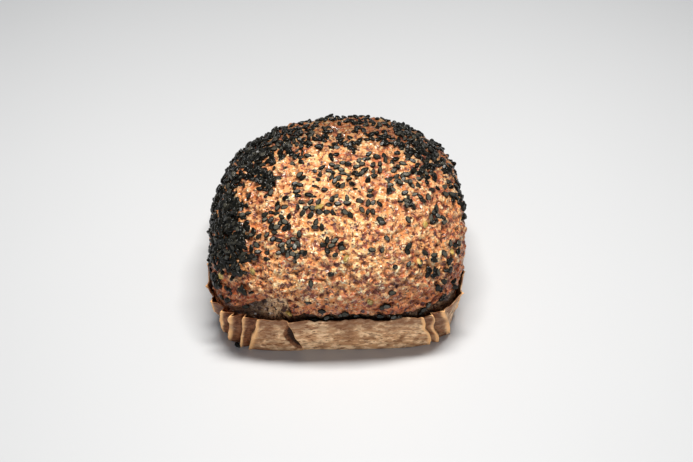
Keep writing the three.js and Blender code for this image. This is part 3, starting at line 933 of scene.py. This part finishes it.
def finish_crust():
    material, tree = new_finish("baked_crust")
    place = place_of(tree)
    # Painted highlight: the cream and flour flecks are made stronger where the relief stands high.
    raised_highlight = attribute_share(tree, "relief", -0.4, 0.5)
    colour = blend(tree, mottle(tree, place, *toast_spots), toasted, tan)
    pale_and_highlight = product(tree, mottle(tree, place, *cream_spots),
                   math_node(tree, "MULTIPLY_ADD", raised_highlight, 0.6, 0.4))
    colour = blend(tree, pale_and_highlight, colour, cream_and_highlight)
    colour = blend(tree, mottle(tree, place, *bran_spots), colour, bran)
    flour_highlight_specks = product(tree, mottle(tree, place, *flour_spots), raised_highlight)
    colour = blend(tree, flour_highlight_specks, colour, flour_and_highlight)
    # Painted shade: the hollows of the relief are darkened towards the pit colour.
    hollow_shade = product(tree, attribute_share(tree, "relief", -0.3, -0.9), 0.6)
    colour = blend(tree, hollow_shade, colour, pit_and_hollow_shade)
    colour = blend(tree, mottle(tree, place, *pit_spots), colour, pit_and_hollow_shade)
    # Painted shade low down and on the right side; the crust is also made darker at the back and on the left.
    for axis, start, end, tint in side_shades_and_tints:
        darker = blend(tree, 1, colour, tint, "MULTIPLY")
        colour = blend(tree, share_along(tree, axis, start, end), colour, darker)
    folds = blend(tree, mottle(tree, place, *fold_spots), recess, pale_fold_and_painted_light)
    # Painted light: the ends of the ledge, which lie in shade, are made paler.
    far_left = share_along(tree, "X", -14, -30)
    far_right = share_along(tree, "X", 26, 38)
    painted_light_at_ends = product(tree, math_node(tree, "MAXIMUM", far_left, far_right), 0.5)
    folds = blend(tree, painted_light_at_ends, folds, pale_fold_and_painted_light)
    folds = blend(tree, mottle(tree, place, *crack_spots), folds, crack_and_shadow)
    ledge = product(tree, attribute_share(tree, "under", 0.25, 0.8), 0.9)
    colour = blend(tree, ledge, colour, folds)
    # Painted shadow: a dark line in the crease right under the lip.
    shadow_below_lip = product(tree, attribute_share(tree, "under", 0.1, 0.45),
                        attribute_share(tree, "under", 1.7, 0.9))
    colour = blend(tree, product(tree, shadow_below_lip, 0.85), colour, crack_and_shadow)
    grit = bumped(tree, mottle(tree, place, *grit_spots), grit_depth)
    set_shader(tree, {
        "Base Color": colour,
        "Roughness": math_node(tree, "MULTIPLY_ADD", mottle(tree, place, *gloss_spots), rougher, least_rough),
        "Normal": bumped(tree, mottle(tree, place, *knob_spots), knob_depth, grit),
        "Coat Weight": product(tree, mottle(tree, place, *wet_spots), 0.8),
        "Coat Roughness": 0.13,
    })
    return material


crust.data.materials.append(finish_crust())

# %% [markdown]
# ## The seeds' finish
# A black seed is not quite black: it is mottled a little olive. The flat face of some seeds is
# painted paler, a painted reflection of the light, strongest on the seeds told apart. The mesh
# carries each seed's shade value for it, so no two need look alike. Its skin has a satin gloss.

# %% Finish of the seeds
# The pale face colour is a painted reflection of the light on a seed's flat face.
seed_black, seed_olive, face_sheen_grey = (0.005, 0.005, 0.004), (0.014, 0.012, 0.008), (0.105, 0.098, 0.075)


def finish_seeds():
    material, tree = new_finish("seed_skin")
    place = place_of(tree)
    colour = blend(tree, mottle(tree, place, 1.4, 0.55), seed_black, seed_olive)
    # Painted reflection: the flat face is paler, as much as the seed's shade value says.
    face_sheen_share = product(tree, attribute_share(tree, "face", 0.62, 1),
                         attribute_share(tree, "shade", 0.45, 1))
    grain = bumped(tree, mottle(tree, place, 0.5, 0.5, 0.3, 2), 0.05 * mm)
    set_shader(tree, {
        "Base Color": blend(tree, face_sheen_share, colour, face_sheen_grey), "Roughness": 0.22,
        "Specular IOR Level": 0.22, "Normal": grain,
    })
    return material


seed_skin = finish_seeds()
seeds.data.materials.append(seed_skin)
dropped.data.materials.append(seed_skin)

# %% Finish of the bits of grain
husk_yellow, husk_olive, husk_pale = (0.66, 0.42, 0.09), (0.26, 0.185, 0.035), (0.62, 0.46, 0.2)


def finish_grains():
    material, tree = new_finish("grain_husk")
    place = place_of(tree)
    colour = blend(tree, mottle(tree, place, 5), husk_yellow, husk_olive)
    colour = blend(tree, mottle(tree, place, 0.9, 0.58), colour, husk_pale)
    husk_bump = bumped(tree, mottle(tree, place, 0.7), 0.15 * mm)
    set_shader(tree, {"Base Color": colour, "Roughness": 0.45, "Normal": husk_bump})
    return material


grains.data.materials.append(finish_grains())

# %% [markdown]
# ## The paper's finish
# Fat has soaked the paper, so it is brown, spotted and lets a little light through. Its fibres run
# along the panels. A painted highlight runs along the crests of the pleats and the lap's edge, painted
# shade darkens the valleys between them, a little less on the right, and a darker painted shadow
# fills the pocket of the lap. The mesh carries how much painted highlight and how much of a valley
# each place has.

# %% Finish of the paper
paper_tan, paper_dark, paper_pale = (0.60, 0.32, 0.155), (0.24, 0.10, 0.042), (0.95, 0.64, 0.37)
# A painted highlight for the crests, painted shade for the valleys, the fat stain, and a painted shadow for
# the lap's pocket.
painted_crest_highlight, valley_shade_brown, stain = (1.0, 0.55, 0.24), (0.085, 0.02, 0.004), (0.21, 0.08, 0.034)
lap_pocket_shadow = (0.025, 0.010, 0.005)
fibre_stretch, glow_depths = (0.6, 0.6, 1.3), Vector((2 * mm, 1.2 * mm, 0.7 * mm))
pale_fibres, dark_fibres, fuzz_fibres = (2.6, 0.5, 0.07), (1.7, 0.59, 0.05), (1.1, 0.5, 0.3)
soaked_spots, stain_spots, fold_shades = (5, 0.54, 0.1, 4), (3.6, 0.44, 0.09, 4), (2.4,)
dimples, dimple_depth, fuzz_depth = (4, 0.5, 0.3), 0.25 * mm, 0.16 * mm


def finish_paper():
    material, tree = new_finish("greasy_paper")
    place = place_of(tree)
    fibres = place_of(tree, fibre_stretch)
    colour = blend(tree, mottle(tree, fibres, *pale_fibres), paper_tan, paper_pale)
    soaked = product(tree, mottle(tree, place, *soaked_spots), 0.7)
    colour = blend(tree, soaked, colour, paper_dark)
    colour = blend(tree, mottle(tree, fibres, *dark_fibres), colour, paper_dark)
    near_rim = share_along(tree, "Z", 9, 20)
    to_the_left = share_along(tree, "X", -10, -32)
    stained = product(tree, math_node(tree, "MAXIMUM", near_rim, to_the_left),
                      mottle(tree, place, *stain_spots))
    colour = blend(tree, product(tree, stained, 0.66), colour, stain)
    scorched = product(tree, share_along(tree, "Z", 12, 19),
                       share_along(tree, "X", -6, -22))
    colour = blend(tree, product(tree, scorched, 0.48), colour, stain)
    # Painted shade: the valleys of the pleats are darkened, a little less on the right.
    valley = product(tree, attribute_share(tree, "valley", 0.05, 0.5), 0.95)
    valley_shade = blend(tree, mottle(tree, place, *fold_shades), valley_shade_brown, stain)
    to_the_right = share_along(tree, "X", 10, 30)
    valley = product(tree, valley, math_node(tree, "MULTIPLY_ADD", to_the_right, -0.22, 1))
    colour = blend(tree, valley, colour, valley_shade)
    # Painted shadow: the lap's pocket, where the valley value passes 1, goes nearly black.
    colour = blend(tree, attribute_share(tree, "valley", 1.1, 1.9), colour, lap_pocket_shadow)
    # Painted highlight along the crests and the lap's edge.
    colour = blend(tree, attribute_share(tree, "crest", 0.5, 1), colour, painted_crest_highlight)
    fuzz = bumped(tree, mottle(tree, fibres, *fuzz_fibres), fuzz_depth)
    set_shader(tree, {
        "Base Color": colour, "Roughness": 0.45, "Specular IOR Level": 0.15,
        "Subsurface Weight": 0.08, "Subsurface Radius": glow_depths,
        "Normal": bumped(tree, mottle(tree, place, *dimples), dimple_depth, fuzz),
    })
    return material


case.data.materials.append(finish_paper())

# %% [markdown]
# ## Table and light
# The roll stands on a plain white table. The main light hangs above it and is oblong, with its long
# side from left to right. A weak, bluish light low in front keeps the paper from going dark.

# %% Table
table_size = 3
table_grey, table_white = (0.585, 0.598, 0.62), (0.605, 0.618, 0.64)
bm = bmesh.new()
bmesh.ops.create_grid(bm, x_segments=1, y_segments=1, size=table_size / 2)
table = finished_object("table", bm)
table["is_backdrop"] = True


def finish_table():
    material, tree = new_finish("white_table")
    colour = blend(tree, mottle(tree, place_of(tree), 400, 0.5, 0.3), table_grey, table_white)
    set_shader(tree, {"Base Color": colour, "Roughness": 0.6})
    return material


table.data.materials.append(finish_table())


# %% Lights
def soft_light(name, place, aim, size, power, colour):
    """An oblong lamp at a place in metres, turned to its aim. The size is width, then height."""
    data = bpy.data.lights.new(name, "AREA")
    data.shape = "RECTANGLE"
    data.size, data.size_y = size
    data.energy = power
    data.color = colour
    light = bpy.data.objects.new(name, data)
    bpy.context.scene.collection.objects.link(light)
    light.location = place
    light.rotation_mode = "QUATERNION"
    light.rotation_quaternion = (aim - light.location).to_track_quat("-Z", "Y")


warm_white, cool_white, room_blue = (1, 0.965, 0.91), (0.93, 0.96, 1), (0.70, 0.84, 1, 1)
above, below, in_front = Vector((0.02, 0.02, 0.56)), Vector((0, 0.02, 0)), Vector((0.02, -0.75, 0.16))
# The top light's aim has the light's own y, so that its long side lies straight from left to right.
soft_light("top_light", above, below, (0.09, 0.34), 4.65, warm_white)
soft_light("front_light", in_front, aim_point, (0.5, 0.3), 1.7, cool_white)
world = bpy.data.worlds.new("room")
world.use_nodes = True
sky = world.node_tree.nodes["Background"]
sky.inputs["Color"].default_value = room_blue
sky.inputs["Strength"].default_value = 0.12
bpy.context.scene.world = world
bpy.context.scene.view_settings.view_transform = "Standard"

# %% [markdown]
# ## Last measures
# The boxes of the imported model and of the dressed roll are printed side by side. The dressed
# roll may not outgrow the imported model.

# %% Measure and finish
seen_low, seen_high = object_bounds()
for label, low, high in (("packed", cad_low, cad_high), ("dressed", seen_low, seen_high)):
    print(label, "mm:", [round(value / mm, 2) for value in (*low, *high)])
